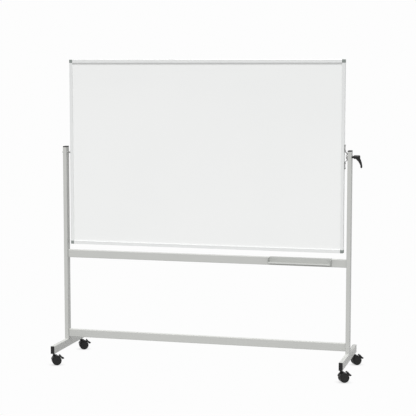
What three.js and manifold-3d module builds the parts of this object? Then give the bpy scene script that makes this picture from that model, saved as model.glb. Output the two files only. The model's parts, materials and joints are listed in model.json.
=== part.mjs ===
// Rolling double-sided whiteboard: an enamelled panel in an aluminium frame that turns on two
// side pivots, carried by a tube stand with two feet and four braked twin-wheel casters.
// Millimetres. +Z is up, the floor is Z = 0, the writing side faces -Y and +X is to its right.

import * as THREE from 'three';
import { mergeVertices } from 'three/addons/utils/BufferGeometryUtils.js';
import Module from 'manifold-3d';

const wasm = await Module();
wasm.setup();

// ---------------------------------------------------------------- driving dimensions

const GAP = 0.3;                // air left between neighbouring pieces
const HOLE_CLEARANCE = 0.4;     // a bolt hole's radius less its bolt's

// Board
const BOARD_WIDTH = 1800;
const BOARD_HEIGHT = 1200;
const BOARD_BOTTOM_Z = 760;
const FRAME_DEPTH = 28;         // front to back
const FRAME_FACE = 20;          // width of a rail seen from the front
const FRAME_SLOT_DEPTH = 9;     // how far the panel reaches into a rail
const FRAME_OUTER_ROUNDING = 3;
const FRAME_FLAT_END = 11;      // the rail's face is flat up to here, then falls to its inner edge
const FRAME_INNER_DROP = 1.2;
const CHAMBER_START = 2.2;      // hollow in each rail, measured from its outer edge
const CHAMBER_END = 8.8;
const CHAMBER_HALF_DEPTH = 9;
const CORE_THICKNESS = 14;
const SHEET_THICKNESS = 0.6;
const CORNER_SIZE = FRAME_FACE;
const CORNER_PROUD = 0.8;
const CORNER_PRONG = 30;
const CORNER_OUTER_RADIUS = 3;
const CORNER_INNER_RADIUS = 6;

// Stand
const POST_CENTRE_X = 934;
const POST_WIDTH = 25;
const POST_DEPTH = 50;
const POST_TOP_Z = 1394;
const POST_CAP_HEIGHT = 6.5;
const TUBE_WALL = 1.8;
const TUBE_CORNER_RADIUS = 3;
const BAR_HEIGHT = 50;
const BAR_DEPTH = 25;
const UPPER_BAR_TOP_Z = 720;
const LOWER_BAR_TOP_Z = 190.5;
const FOOT_LENGTH = 560;
const FOOT_HEIGHT = 50;
const FOOT_WIDTH = 25;
const FOOT_BOTTOM_Z = 77;
const FOOT_CAP_FLANGE = 2;
const FOOT_CAP_CHAMFER = 0.8;
const POST_CAP_CHAMFER = 2.5;
const CAP_PLUG_LENGTH = 13;

// Pen tray
const TRAY_LENGTH = 400;
const TRAY_LEFT_X = 428;
const TRAY_DEPTH = 50;
const TRAY_FLOOR_DROP = 34.4;   // floor's underside below the top of the bar
const TRAY_LIP_HEIGHT = 9.2;
const TRAY_LIP_LEAN = 20;       // degrees the lip leans back over the trough
const TRAY_SHEET = 1.2;
const TRAY_END_THICKNESS = 2;
const TRAY_END_RADIUS = 8;
const TRAY_BEND_RADIUS = 1.6;
const TRAY_HOOK_DROP = 14;      // how far the hook reaches down behind the bar

// Casters
const CASTER_STEM_Y = 252.5;
const CASTER_TRAIL = 16;        // stem axis to wheel axle
const CASTER_TURN = THREE.MathUtils.degToRad(30);
const WHEEL_RADIUS = 30;
const WHEEL_WIDTH = 16;
const WHEEL_INNER_Y = 6;        // inner face of each wheel from the caster's middle plane
const WHEEL_TREAD_ROUNDING = 2;
const AXLE_RADIUS = 3;
const AXLE_HALF_LENGTH = 18.5;
const AXLE_POCKET_DEPTH = 13;   // blind hole for the axle in each wheel's inner face
const FENDER_INNER_RADIUS = 31.2;
const FENDER_OUTER_RADIUS = 34;
const FENDER_START = 82;        // degrees about the axle, from straight behind it upwards
const FENDER_END = 168;
const WHEEL_ROOM_RADIUS = 30.7; // cleared around each wheel in the hood's web and housing
const CHEEK_OUTER_Y = 5.2;
const CHEEK_INNER_Y = 2.9;
const CHEEK_LUG_RADIUS = 5.5;
const HUB_BOSS_RADIUS = 12;
const HOUSING_RADIUS = 9.5;
const HOUSING_BOTTOM_Z = 50;
const HOUSING_TOP_Z = 71;
const STEM_PIN_RADIUS = 3.2;
const STEM_RADIUS = 5;
const STEM_COLLAR_RADIUS = 8.5;
const STEM_COLLAR_HEIGHT = 3;
const STEM_REACH_IN_FOOT = 28;
const PEDAL_PIVOT = { along: 10, up: 14 };   // from the axle
const PEDAL_KNUCKLE_RADIUS = 4.4;
const PEDAL_ROOM_RADIUS = 8;
const PEDAL_HALF_WIDTH = 17;
const PEDAL_HORN_HALF_WIDTH = 12;
const PEDAL_SHOE_CLEARANCE = 2.2;
const TRUNNION_RADIUS = 2.1;
const TRUNNION_HALF_LENGTH = 4.9;

// Pivots
const PIVOT_Z = BOARD_BOTTOM_Z + BOARD_HEIGHT / 2;
const BRACKET_WIDTH = 30;
const BRACKET_THICKNESS = 3;
const BRACKET_REACH_Z = 77;     // end of each flange from the pivot axis
const BRACKET_KNEE_Z = 33.5;
const BRACKET_PLATE_HALF_HEIGHT = 21;
const BRACKET_SCREW_Z = [-71, -39, 39, 71];
const SCREW_RADIUS = 2.2;
const SCREW_HEAD_RADIUS = 4.5;
const SCREW_HEAD_HEIGHT = 3.8;
const SCREW_LENGTH = 11;
const STUD_RADIUS = 5;
const STUD_REACH = 36;          // end of the stud beyond the post's outer face
const STUD_HEAD_RADIUS = 11;
const STUD_HEAD_THICKNESS = 4.8;
const WASHER_RADIUS = 16;
const LEVER_COLLAR_RADIUS = 7.6;
const LEVER_COLLAR_END = 11;    // these three are measured out from the post's outer face
const LEVER_BORE_END = 38;
const LEVER_HUB_END = 50;
const LEVER_HUB_RADIUS = 11.8;
const LEVER_OUTER_X = 1011;     // farthest point of the clamp lever
const LEFT_BOLT_RADIUS = 4;
const LEFT_BOLT_HEAD = 11.5;    // hexagon and dome together
const LEFT_BOLT_DOME = 5;
const LEFT_BOLT_DOME_RADIUS = 5.6;
const LEFT_BOLT_HEAD_RADIUS = 7.2;
const LEFT_BUSH_RADIUS = 5.8;

// ---------------------------------------------------------------- derived places

const HALF_BOARD = BOARD_WIDTH / 2;
const POST_INNER_X = POST_CENTRE_X - POST_WIDTH / 2;
const POST_OUTER_X = POST_CENTRE_X + POST_WIDTH / 2;
const FOOT_TOP_Z = FOOT_BOTTOM_Z + FOOT_HEIGHT;
const BAR_LENGTH = 2 * (POST_INNER_X - GAP);
const FOOT_TUBE_HALF = FOOT_LENGTH / 2 - FOOT_CAP_FLANGE - GAP;
const PANEL_HALF_WIDTH = HALF_BOARD - FRAME_FACE + FRAME_SLOT_DEPTH - GAP;
const PANEL_HALF_HEIGHT = BOARD_HEIGHT / 2 - FRAME_FACE + FRAME_SLOT_DEPTH - GAP;
const SHEET_FRONT_Y = CORE_THICKNESS / 2 + 0.1 + SHEET_THICKNESS;
const SLOT_HALF = SHEET_FRONT_Y + GAP;
const BRACKET_FLANGE_X = HALF_BOARD + 0.2 + BRACKET_THICKNESS / 2;
const BRACKET_PLATE_X = HALF_BOARD + 16;
const LEFT_BOLT_END_X = POST_OUTER_X + GAP + LEFT_BOLT_HEAD;

// The lever reaches past the right post, so the whole model moves left until the origin is under
// the middle of its overall width.
const CENTRE_SHIFT_X = -(LEVER_OUTER_X - LEFT_BOLT_END_X) / 2;

// ---------------------------------------------------------------- materials

function material(color, roughness, metalness) {
  return new THREE.MeshStandardMaterial({ color, roughness, metalness });
}

const PAINTED_STEEL = material(0xc6c8c4, 0.45, 0.3);
const ALUMINIUM = material(0xd9dadb, 0.35, 0.8);
const ENAMEL = material(0xf2f4f2, 0.15, 0.0);
const CORE_BOARD = material(0xb99b70, 0.9, 0.0);
const GREY_PLASTIC = material(0x7d8583, 0.5, 0.0);
const BLACK_PLASTIC = material(0x242424, 0.5, 0.0);
const WHEEL_PLASTIC = material(0x2c2c2c, 0.6, 0.0);
const ZINC_STEEL = material(0xa9a9a6, 0.35, 0.9);

// ---------------------------------------------------------------- geometry helpers

function toSolid(geometry) {
  const bare = geometry.clone();
  bare.deleteAttribute('normal');
  bare.deleteAttribute('uv');
  const merged = mergeVertices(bare, 1e-4);
  const mesh = new wasm.Mesh({
    numProp: 3,
    vertProperties: new Float32Array(merged.attributes.position.array),
    triVerts: new Uint32Array(merged.index.array),
  });
  return new wasm.Manifold(mesh);
}

function toGeometry(solid) {
  const mesh = solid.getMesh();
  const geometry = new THREE.BufferGeometry();
  geometry.setAttribute('position', new THREE.BufferAttribute(mesh.vertProperties, 3));
  geometry.setIndex(new THREE.BufferAttribute(mesh.triVerts, 1));
  return geometry;
}

function join(...geometries) {
  const solids = geometries.map(toSolid);
  return toGeometry(solids.reduce((sum, next) => sum.add(next)));
}

function cut(geometry, ...tools) {
  const solids = tools.map(toSolid);
  return toGeometry(solids.reduce((rest, tool) => rest.subtract(tool), toSolid(geometry)));
}

// A closed skin over rings of points, each ring turning anticlockwise seen from behind the first one.
function loft(rings) {
  const count = rings[0].length;
  const last = (rings.length - 1) * count;
  const faces = [];
  for (let ring = 0; ring < last; ring += count) {
    for (let i = 0; i < count; i += 1) {
      const next = (i + 1) % count;
      faces.push(ring + i, ring + count + i, ring + next);
      faces.push(ring + next, ring + count + i, ring + count + next);
    }
  }
  for (let i = 1; i < count - 1; i += 1) {
    faces.push(0, i, i + 1);
    faces.push(last, last + i + 1, last + i);
  }
  const geometry = new THREE.BufferGeometry().setFromPoints(rings.flat());
  geometry.setIndex(faces);
  return geometry;
}

function block([x0, x1], [y0, y1], [z0, z1]) {
  const geometry = new THREE.BoxGeometry(x1 - x0, y1 - y0, z1 - z0);
  return geometry.translate((x0 + x1) / 2, (y0 + y1) / 2, (z0 + z1) / 2);
}

// A closed profile of [radius, height] points turned about Z.
function turned(profile, segments = 20) {
  const points = profile.map(([radius, height]) => new THREE.Vector2(radius, height));
  return new THREE.LatheGeometry(points, segments).rotateX(Math.PI / 2);
}

function rodX(radius, x0, x1, segments = 20) {
  const geometry = new THREE.CylinderGeometry(radius, radius, x1 - x0, segments);
  return geometry.rotateZ(Math.PI / 2).translate((x0 + x1) / 2, 0, 0);
}

function rodY(radius, y0, y1, segments = 20) {
  const geometry = new THREE.CylinderGeometry(radius, radius, y1 - y0, segments);
  return geometry.translate(0, (y0 + y1) / 2, 0);
}

function rodZ(radius, z0, z1, segments = 16) {
  const geometry = new THREE.CylinderGeometry(radius, radius, z1 - z0, segments);
  return geometry.rotateX(Math.PI / 2).translate(0, 0, (z0 + z1) / 2);
}

// An outline in X and Y drawn out along Z, centred on Z = 0.
function prism(shape, length, curveSegments = 2) {
  const geometry = new THREE.ExtrudeGeometry(shape, { depth: length, bevelEnabled: false, curveSegments });
  return geometry.translate(0, 0, -length / 2);
}

// An outline whose points are [x, z], drawn out along Y between two planes.
function sidePrism(shape, [y0, y1], curveSegments = 2) {
  return prism(shape, y1 - y0, curveSegments).rotateX(Math.PI / 2).translate(0, (y0 + y1) / 2, 0);
}

function polygon(points) {
  return new THREE.Shape(points.map(([x, y]) => new THREE.Vector2(x, y)));
}

function roundedRectangle(width, height, radius) {
  const x = width / 2;
  const y = height / 2;
  const shape = new THREE.Shape();
  shape.moveTo(-x + radius, -y);
  shape.lineTo(x - radius, -y);
  shape.absarc(x - radius, -y + radius, radius, -Math.PI / 2, 0);
  shape.lineTo(x, y - radius);
  shape.absarc(x - radius, y - radius, radius, 0, Math.PI / 2);
  shape.lineTo(-x + radius, y);
  shape.absarc(-x + radius, y - radius, radius, Math.PI / 2, Math.PI);
  shape.lineTo(-x, -y + radius);
  shape.absarc(-x + radius, -y + radius, radius, Math.PI, 1.5 * Math.PI);
  return shape;
}

// A rectangular tube along Z, centred on the origin and open at both ends.
function tube(width, height, length) {
  const shape = roundedRectangle(width, height, TUBE_CORNER_RADIUS);
  const bore = roundedRectangle(width - 2 * TUBE_WALL, height - 2 * TUBE_WALL,
    TUBE_CORNER_RADIUS - TUBE_WALL);
  shape.holes.push(bore);
  return prism(shape, length);
}

// The outline of a strip of sheet bent along a line of [x, y] points.
function bentStrip(line, thickness) {
  const points = line.map(([x, y]) => new THREE.Vector2(x, y));
  const offset = (side) => points.map((point, i) => {
    const before = i > 0 ? point.clone().sub(points[i - 1]).normalize() : null;
    const after = i < points.length - 1 ? points[i + 1].clone().sub(point).normalize() : null;
    const first = before ?? after;
    const second = after ?? before;
    const mitre = new THREE.Vector2(-first.y - second.y, first.x + second.x);
    mitre.normalize();
    const normal = new THREE.Vector2(-first.y, first.x);
    const reach = (side * thickness) / 2 / mitre.dot(normal);
    return point.clone().addScaledVector(mitre, reach);
  });
  return new THREE.Shape([...offset(1), ...offset(-1).reverse()]);
}

// Points on an arc about a centre, from one angle to another in degrees.
function arc(centre, radius, fromDegrees, toDegrees, steps) {
  const points = [];
  for (let i = 0; i <= steps; i += 1) {
    const angle = THREE.MathUtils.degToRad(fromDegrees + ((toDegrees - fromDegrees) * i) / steps);
    points.push([centre[0] + radius * Math.cos(angle), centre[1] + radius * Math.sin(angle)]);
  }
  return points;
}

const whiteboard = new THREE.Group();
whiteboard.position.x = CENTRE_SHIFT_X;

function addPart(name, geometry, partMaterial, parent = whiteboard) {
  const mesh = new THREE.Mesh(geometry, partMaterial);
  mesh.name = name;
  parent.add(mesh);
  return mesh;
}

// ---------------------------------------------------------------- stand

// Each side is -1 for the left of the writing side and +1 for the right.
const SIDES = [
  { side: -1, word: 'left', pivotHole: LEFT_BOLT_RADIUS + HOLE_CLEARANCE },
  { side: 1, word: 'right', pivotHole: STUD_RADIUS + HOLE_CLEARANCE },
];
const ENDS = [
  { end: -1, word: 'front' },
  { end: 1, word: 'rear' },
];

function addPost({ side, word, pivotHole }) {
  const bottom = FOOT_TOP_Z + GAP;
  const length = POST_TOP_Z - bottom;
  const middle = (POST_TOP_Z + bottom) / 2;
  const hole = rodX(pivotHole, -POST_WIDTH, POST_WIDTH).translate(0, 0, PIVOT_Z - middle);
  const post = addPart(`${word}_post`, cut(tube(POST_WIDTH, POST_DEPTH, length), hole), PAINTED_STEEL);
  post.position.set(side * POST_CENTRE_X, 0, middle);
}

// A plastic cap with a chamfered head and a plug that fits inside the tube, head towards +Z.
function tubeCap(width, height, headThickness, chamfer) {
  const crownStep = 0.05;
  const plugCornerRadius = 1;
  const plugOverlap = 0.1;
  const head = prism(roundedRectangle(width, height, TUBE_CORNER_RADIUS), headThickness - chamfer);
  head.translate(0, 0, (headThickness - chamfer) / 2);
  const crown = new THREE.ExtrudeGeometry(
    roundedRectangle(width - 2 * chamfer, height - 2 * chamfer, TUBE_CORNER_RADIUS),
    { depth: crownStep, bevelSize: chamfer, bevelThickness: chamfer, bevelSegments: 1, curveSegments: 2 },
  );
  crown.translate(0, 0, headThickness - chamfer - crownStep);
  const inset = 2 * (TUBE_WALL + GAP);
  const plug = prism(roundedRectangle(width - inset, height - inset, plugCornerRadius), CAP_PLUG_LENGTH);
  plug.translate(0, 0, plugOverlap - CAP_PLUG_LENGTH / 2);
  const belowHead = block([-width, width], [-height, height], [-CAP_PLUG_LENGTH * 2, 0]);
  return join(head, cut(crown, belowHead), plug);
}

function addPostCap({ side, word }) {
  const cap = addPart(`${word}_post_cap`,
    tubeCap(POST_WIDTH, POST_DEPTH, POST_CAP_HEIGHT, POST_CAP_CHAMFER), BLACK_PLASTIC);
  cap.position.set(side * POST_CENTRE_X, 0, POST_TOP_Z + GAP);
}

function addCrossbar(name, topZ) {
  const bar = addPart(name, tube(BAR_HEIGHT, BAR_DEPTH, BAR_LENGTH), PAINTED_STEEL);
  bar.rotation.y = Math.PI / 2;
  bar.position.z = topZ - BAR_HEIGHT / 2;
}

function addFoot({ side, word }) {
  const body = tube(FOOT_WIDTH, FOOT_HEIGHT, 2 * FOOT_TUBE_HALF).rotateX(Math.PI / 2);
  const stemHoles = ENDS.map(({ end }) => (
    rodZ(STEM_RADIUS + HOLE_CLEARANCE, -FOOT_HEIGHT, 0).translate(0, end * CASTER_STEM_Y, 0)));
  const foot = addPart(`${word}_foot`, cut(body, ...stemHoles), PAINTED_STEEL);
  foot.position.set(side * POST_CENTRE_X, 0, FOOT_BOTTOM_Z + FOOT_HEIGHT / 2);
}

function addFootCap({ side, word }, { end, word: endWord }) {
  const cap = addPart(`${word}_foot_${endWord}_cap`,
    tubeCap(FOOT_WIDTH, FOOT_HEIGHT, FOOT_CAP_FLANGE, FOOT_CAP_CHAMFER), BLACK_PLASTIC);
  cap.rotation.x = -end * Math.PI / 2;
  cap.position.set(side * POST_CENTRE_X, end * (FOOT_TUBE_HALF + GAP), FOOT_BOTTOM_Z + FOOT_HEIGHT / 2);
}

// ---------------------------------------------------------------- pen tray

// Painted sheet section, seen from the right end as [y, z]: it hooks over the upper crossbar,
// runs down its front, and turns out into a shallow trough with a low lip.
function traySection() {
  const half = TRAY_SHEET / 2;
  const wrap = BAR_DEPTH / 2 + GAP + half;
  const top = UPPER_BAR_TOP_Z + GAP + half;
  const floor = UPPER_BAR_TOP_Z - TRAY_FLOOR_DROP + half;
  const front = -(BAR_DEPTH / 2 + TRAY_DEPTH);
  const lean = THREE.MathUtils.degToRad(TRAY_LIP_LEAN);
  const bend = TRAY_BEND_RADIUS;
  const bendY = front + bend;
  const lipRise = TRAY_LIP_HEIGHT - half - bend * (1 + Math.sin(lean));
  const lipY = bendY - bend * Math.cos(lean) + lipRise * Math.tan(lean);
  return bentStrip([
    [wrap, top - TRAY_HOOK_DROP],
    [wrap, top],
    [-wrap, top],
    [-wrap, floor],
    ...arc([bendY, floor + bend], bend, 270, 180 - TRAY_LIP_LEAN, 4),
    [lipY, floor - half + TRAY_LIP_HEIGHT],
  ], TRAY_SHEET);
}

// Prisms of a [y, z] section that runs along X, between two X planes.
function sectionAlongX(shape, x0, x1) {
  const geometry = prism(shape, x1 - x0);
  const toWorld = new THREE.Matrix4().makeBasis(
    new THREE.Vector3(0, 1, 0), new THREE.Vector3(0, 0, 1), new THREE.Vector3(1, 0, 0));
  return geometry.applyMatrix4(toWorld).translate((x0 + x1) / 2, 0, 0);
}

function trayEndSection() {
  const back = -(BAR_DEPTH / 2 + GAP);
  const front = -(BAR_DEPTH / 2 + TRAY_DEPTH + TRAY_SHEET / 2);
  const bottom = UPPER_BAR_TOP_Z - TRAY_FLOOR_DROP;
  const radius = TRAY_END_RADIUS;
  return polygon([
    [back, bottom],
    [back, UPPER_BAR_TOP_Z],
    ...arc([front + radius, UPPER_BAR_TOP_Z - radius], radius, 90, 180, 4),
    ...arc([front + radius, bottom + radius], radius, 180, 270, 4),
  ]);
}

function addPenTray() {
  const right = TRAY_LEFT_X + TRAY_LENGTH;
  const innerLeft = TRAY_LEFT_X + TRAY_END_THICKNESS + GAP;
  const innerRight = right - TRAY_END_THICKNESS - GAP;
  addPart('pen_tray', sectionAlongX(traySection(), innerLeft, innerRight), PAINTED_STEEL);
  addPart('left_tray_end',
    sectionAlongX(trayEndSection(), TRAY_LEFT_X, TRAY_LEFT_X + TRAY_END_THICKNESS), PAINTED_STEEL);
  addPart('right_tray_end',
    sectionAlongX(trayEndSection(), right - TRAY_END_THICKNESS, right), PAINTED_STEEL);
}

// ---------------------------------------------------------------- board

// Rail section as [inward from the outer edge, depth]: a nearly flat face back and front, a slot for
// the panel and a hollow chamber that takes the corner pieces' prongs.
function railSection() {
  const half = FRAME_DEPTH / 2;
  const inner = half - FRAME_INNER_DROP;
  const slotFloor = FRAME_FACE - FRAME_SLOT_DEPTH;
  const rounding = FRAME_OUTER_ROUNDING;
  const shoulder = (FRAME_FLAT_END + FRAME_FACE) / 2;
  const shape = new THREE.Shape();
  shape.moveTo(FRAME_FACE, -inner);
  shape.quadraticCurveTo(shoulder, -half, FRAME_FLAT_END, -half);
  shape.lineTo(rounding, -half);
  shape.absarc(rounding, -half + rounding, rounding, 1.5 * Math.PI, Math.PI, true);
  shape.lineTo(0, half - rounding);
  shape.absarc(rounding, half - rounding, rounding, Math.PI, 0.5 * Math.PI, true);
  shape.lineTo(FRAME_FLAT_END, half);
  shape.quadraticCurveTo(shoulder, half, FRAME_FACE, inner);
  shape.lineTo(FRAME_FACE, SLOT_HALF);
  shape.lineTo(slotFloor, SLOT_HALF);
  shape.lineTo(slotFloor, -SLOT_HALF);
  shape.lineTo(FRAME_FACE, -SLOT_HALF);
  shape.closePath();
  const chamber = CHAMBER_HALF_DEPTH;
  shape.holes.push(polygon([
    [CHAMBER_START, -chamber],
    [CHAMBER_END, -chamber],
    [CHAMBER_END, chamber],
    [CHAMBER_START, chamber],
  ]));
  return shape;
}

// Holes are { along, radius } through the rail's outer wall only.
function railGeometry(length, holes) {
  const body = prism(railSection(), length, 3);
  const tools = holes.map(({ along, radius }) => (
    rodX(radius, -1, CHAMBER_END - 1, 12).translate(0, 0, along)));
  return tools.length ? cut(body, ...tools) : body;
}

// inward points from the rail's outer edge to the middle of the board.
function addRail(name, inward, length, holes = []) {
  const depth = new THREE.Vector3(0, 1, 0);
  const along = new THREE.Vector3().crossVectors(inward, depth);
  const rail = addPart(name, railGeometry(length, holes), ALUMINIUM);
  rail.setRotationFromMatrix(new THREE.Matrix4().makeBasis(inward, depth, along));
  rail.position.set(-inward.x * HALF_BOARD, 0, PIVOT_Z - inward.z * BOARD_HEIGHT / 2);
}

function addRails() {
  const across = BOARD_WIDTH - 2 * (CORNER_SIZE + GAP);
  const upright = BOARD_HEIGHT - 2 * (CORNER_SIZE + GAP);
  addRail('top_rail', new THREE.Vector3(0, 0, -1), across);
  addRail('bottom_rail', new THREE.Vector3(0, 0, 1), across);
  addRail('left_rail', new THREE.Vector3(1, 0, 0), upright,
    [{ along: 0, radius: LEFT_BOLT_RADIUS + HOLE_CLEARANCE }]);
  addRail('right_rail', new THREE.Vector3(-1, 0, 0), upright,
    BRACKET_SCREW_Z.map((along) => ({ along, radius: SCREW_RADIUS + HOLE_CLEARANCE })));
}

// A corner piece with its outer corner at the origin, reaching towards +X and +Z.
function cornerGeometry() {
  const innerCentre = CORNER_SIZE - CORNER_INNER_RADIUS;
  const halfDepth = FRAME_DEPTH / 2 + CORNER_PROUD;
  const outline = polygon([
    ...arc([CORNER_OUTER_RADIUS, CORNER_OUTER_RADIUS], CORNER_OUTER_RADIUS, 180, 270, 3),
    [CORNER_SIZE, 0],
    ...arc([innerCentre, innerCentre], CORNER_INNER_RADIUS, 0, 90, 4),
    [0, CORNER_SIZE],
  ]);
  const body = sidePrism(outline, [-halfDepth, halfDepth]);
  const panelEdge = FRAME_FACE - FRAME_SLOT_DEPTH;
  const panel = block([panelEdge, CORNER_SIZE * 2], [-SLOT_HALF, SLOT_HALF], [panelEdge, CORNER_SIZE * 2]);
  const prongDepth = CHAMBER_HALF_DEPTH - GAP;
  const prongWidth = [CHAMBER_START + GAP, CHAMBER_END - GAP];
  const reach = [CORNER_SIZE / 2, CORNER_SIZE + CORNER_PRONG];
  const prongAcross = block(reach, [-prongDepth, prongDepth], prongWidth);
  const prongUp = block(prongWidth, [-prongDepth, prongDepth], reach);
  return join(cut(body, panel), prongAcross, prongUp);
}

// Quarter turns about Y bring a corner piece's +X and +Z arms to the board's inward directions.
const CORNERS = [
  { name: 'bottom_left_corner', side: -1, up: -1, quarterTurns: 0 },
  { name: 'top_left_corner', side: -1, up: 1, quarterTurns: 1 },
  { name: 'top_right_corner', side: 1, up: 1, quarterTurns: 2 },
  { name: 'bottom_right_corner', side: 1, up: -1, quarterTurns: 3 },
];

function addCorners() {
  for (const { name, side, up, quarterTurns } of CORNERS) {
    const corner = addPart(name, cornerGeometry(), GREY_PLASTIC);
    corner.rotation.y = (quarterTurns * Math.PI) / 2;
    corner.position.set(side * HALF_BOARD, 0, PIVOT_Z + (up * BOARD_HEIGHT) / 2);
  }
}

function addPanel() {
  const width = [-PANEL_HALF_WIDTH, PANEL_HALF_WIDTH];
  const height = [PIVOT_Z - PANEL_HALF_HEIGHT, PIVOT_Z + PANEL_HALF_HEIGHT];
  const core = CORE_THICKNESS / 2;
  addPart('board_core', block(width, [-core, core], height), CORE_BOARD);
  addPart('front_sheet', block(width, [-SHEET_FRONT_Y, SHEET_THICKNESS - SHEET_FRONT_Y], height), ENAMEL);
  addPart('rear_sheet', block(width, [SHEET_FRONT_Y - SHEET_THICKNESS, SHEET_FRONT_Y], height), ENAMEL);
}

// ---------------------------------------------------------------- pivots

// All of these turn about the line Y = 0, Z = PIVOT_Z, so they are made about X and lifted to it.
function addOnPivot(name, geometry, partMaterial) {
  addPart(name, geometry, partMaterial).position.z = PIVOT_Z;
}

function bracketGeometry() {
  const line = [
    [BRACKET_FLANGE_X, BRACKET_REACH_Z],
    [BRACKET_FLANGE_X, BRACKET_KNEE_Z],
    [BRACKET_PLATE_X, BRACKET_PLATE_HALF_HEIGHT],
    [BRACKET_PLATE_X, -BRACKET_PLATE_HALF_HEIGHT],
    [BRACKET_FLANGE_X, -BRACKET_KNEE_Z],
    [BRACKET_FLANGE_X, -BRACKET_REACH_Z],
  ];
  const strip = sidePrism(bentStrip(line, BRACKET_THICKNESS), [-BRACKET_WIDTH / 2, BRACKET_WIDTH / 2]);
  const screwHoles = BRACKET_SCREW_Z.map((z) => (
    rodX(SCREW_RADIUS + HOLE_CLEARANCE, HALF_BOARD - 1, HALF_BOARD + 5, 12).translate(0, 0, z)));
  const studHole = rodX(STUD_RADIUS + HOLE_CLEARANCE,
    BRACKET_PLATE_X - BRACKET_THICKNESS, BRACKET_PLATE_X + BRACKET_THICKNESS);
  return cut(strip, ...screwHoles, studHole);
}

// A pan head on a plain shank, along +X with the head's underside at the origin.
function screwGeometry() {
  return turned([
    [0, -SCREW_LENGTH],
    [SCREW_RADIUS, -SCREW_LENGTH],
    [SCREW_RADIUS, 0],
    [SCREW_HEAD_RADIUS, 0],
    [SCREW_HEAD_RADIUS, SCREW_HEAD_HEIGHT * 0.45],
    [SCREW_HEAD_RADIUS * 0.8, SCREW_HEAD_HEIGHT * 0.85],
    [SCREW_HEAD_RADIUS * 0.4, SCREW_HEAD_HEIGHT],
    [0, SCREW_HEAD_HEIGHT],
  ], 12).rotateY(Math.PI / 2);
}

function addBracketScrews() {
  const underHead = BRACKET_FLANGE_X + BRACKET_THICKNESS / 2 + GAP;
  BRACKET_SCREW_Z.forEach((z, i) => {
    const screw = addPart(`bracket_screw_${i + 1}`, screwGeometry(), ZINC_STEEL);
    screw.position.set(underHead, 0, PIVOT_Z + z);
  });
}

// Carriage bolt: its flat head sits inside the bracket and its shank ends inside the lever's hub.
function studGeometry() {
  const headEnd = BRACKET_PLATE_X - BRACKET_THICKNESS / 2 - GAP;
  const head = rodX(STUD_HEAD_RADIUS, headEnd - STUD_HEAD_THICKNESS, headEnd);
  const shank = rodX(STUD_RADIUS, headEnd - 1, POST_OUTER_X + STUD_REACH);
  return join(head, shank);
}

function washerGeometry() {
  const start = BRACKET_PLATE_X + BRACKET_THICKNESS / 2 + GAP;
  const end = POST_INNER_X - GAP;
  const outer = rodX(WASHER_RADIUS, start, end, 24);
  return cut(outer, rodX(STUD_RADIUS + HOLE_CLEARANCE, start - 1, end + 1));
}

// Level cuts through the lever's arm, from inside the hub down to the tip: height from the pivot
// axis, the two ends along X from the post's outer face, and half the width along Y.
const LEVER_ARM_CUTS = [
  { z: 5, x0: 18, x1: 43, halfWidth: 7.3 },
  { z: -3, x0: 17, x1: 48, halfWidth: 10 },
  { z: -16, x0: 27.5, x1: 54.5, halfWidth: 9.6 },
  { z: -28, x0: 39, x1: 59, halfWidth: 8 },
  { z: -40, x0: 46.5, x1: 61.8, halfWidth: 6.8 },
  { z: -52, x0: 51.8, x1: 63.9, halfWidth: 6.6 },
  { z: -60, x0: 51.6, x1: 64.5, halfWidth: 7 },
  { z: -65.5, x0: 53.5, x1: 62.6, halfWidth: 5.2 },
  { z: -67.5, x0: 56, x1: 60.2, halfWidth: 2.4 },
];
const LEVER_ARM_SIDES = 14;

function leverArmGeometry() {
  const rings = LEVER_ARM_CUTS.map(({ z, x0, x1, halfWidth }) => {
    const points = [];
    for (let i = 0; i < LEVER_ARM_SIDES; i += 1) {
      const angle = (2 * Math.PI * i) / LEVER_ARM_SIDES;
      const x = (x0 + x1) / 2 + ((x1 - x0) / 2) * Math.cos(angle);
      points.push(new THREE.Vector3(x, halfWidth * Math.sin(angle), z));
    }
    return points;
  });
  return loft(rings);
}

// Collar against the post, hub around the stud's end, and the arm hanging from the hub.
function leverGeometry() {
  const hub = turned([
    [0, GAP],
    [LEVER_COLLAR_RADIUS, GAP],
    [LEVER_COLLAR_RADIUS, LEVER_COLLAR_END],
    [LEVER_HUB_RADIUS - 1, LEVER_COLLAR_END + 1],
    [LEVER_HUB_RADIUS, LEVER_COLLAR_END + 4],
    [LEVER_HUB_RADIUS, LEVER_HUB_END - 5],
    [LEVER_HUB_RADIUS - 3, LEVER_HUB_END],
    [0, LEVER_HUB_END],
  ], 20).rotateY(Math.PI / 2);
  const bore = rodX(STUD_RADIUS + HOLE_CLEARANCE, -1, LEVER_BORE_END);
  return cut(join(hub, leverArmGeometry()), bore).translate(POST_OUTER_X, 0, 0);
}

// Plain pivot of the left side: a bolt with a domed hexagon head outside the post.
function leftBoltGeometry() {
  const radius = LEFT_BOLT_DOME_RADIUS;
  const domeStart = -LEFT_BOLT_END_X + LEFT_BOLT_DOME;
  const headEnd = -LEFT_BOLT_END_X + LEFT_BOLT_HEAD;
  const dome = turned([
    [0, -1],
    [radius, -1],
    [radius, 0.4],
    [radius - 0.3, 2],
    [radius - 1.2, 3.4],
    [radius - 3, 4.6],
    [0, LEFT_BOLT_DOME],
  ], 16).rotateY(-Math.PI / 2).translate(domeStart, 0, 0);
  const hexagon = rodX(LEFT_BOLT_HEAD_RADIUS, domeStart, headEnd, 6);
  const shank = rodX(LEFT_BOLT_RADIUS, headEnd - 1, -(HALF_BOARD - CHAMBER_END + 1));
  return join(dome, hexagon, shank);
}

function leftBushGeometry() {
  const start = -(POST_INNER_X - GAP);
  const end = -(HALF_BOARD + GAP);
  const bore = rodX(LEFT_BOLT_RADIUS + HOLE_CLEARANCE, start - 1, end + 1);
  return cut(rodX(LEFT_BUSH_RADIUS, start, end), bore);
}

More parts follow.
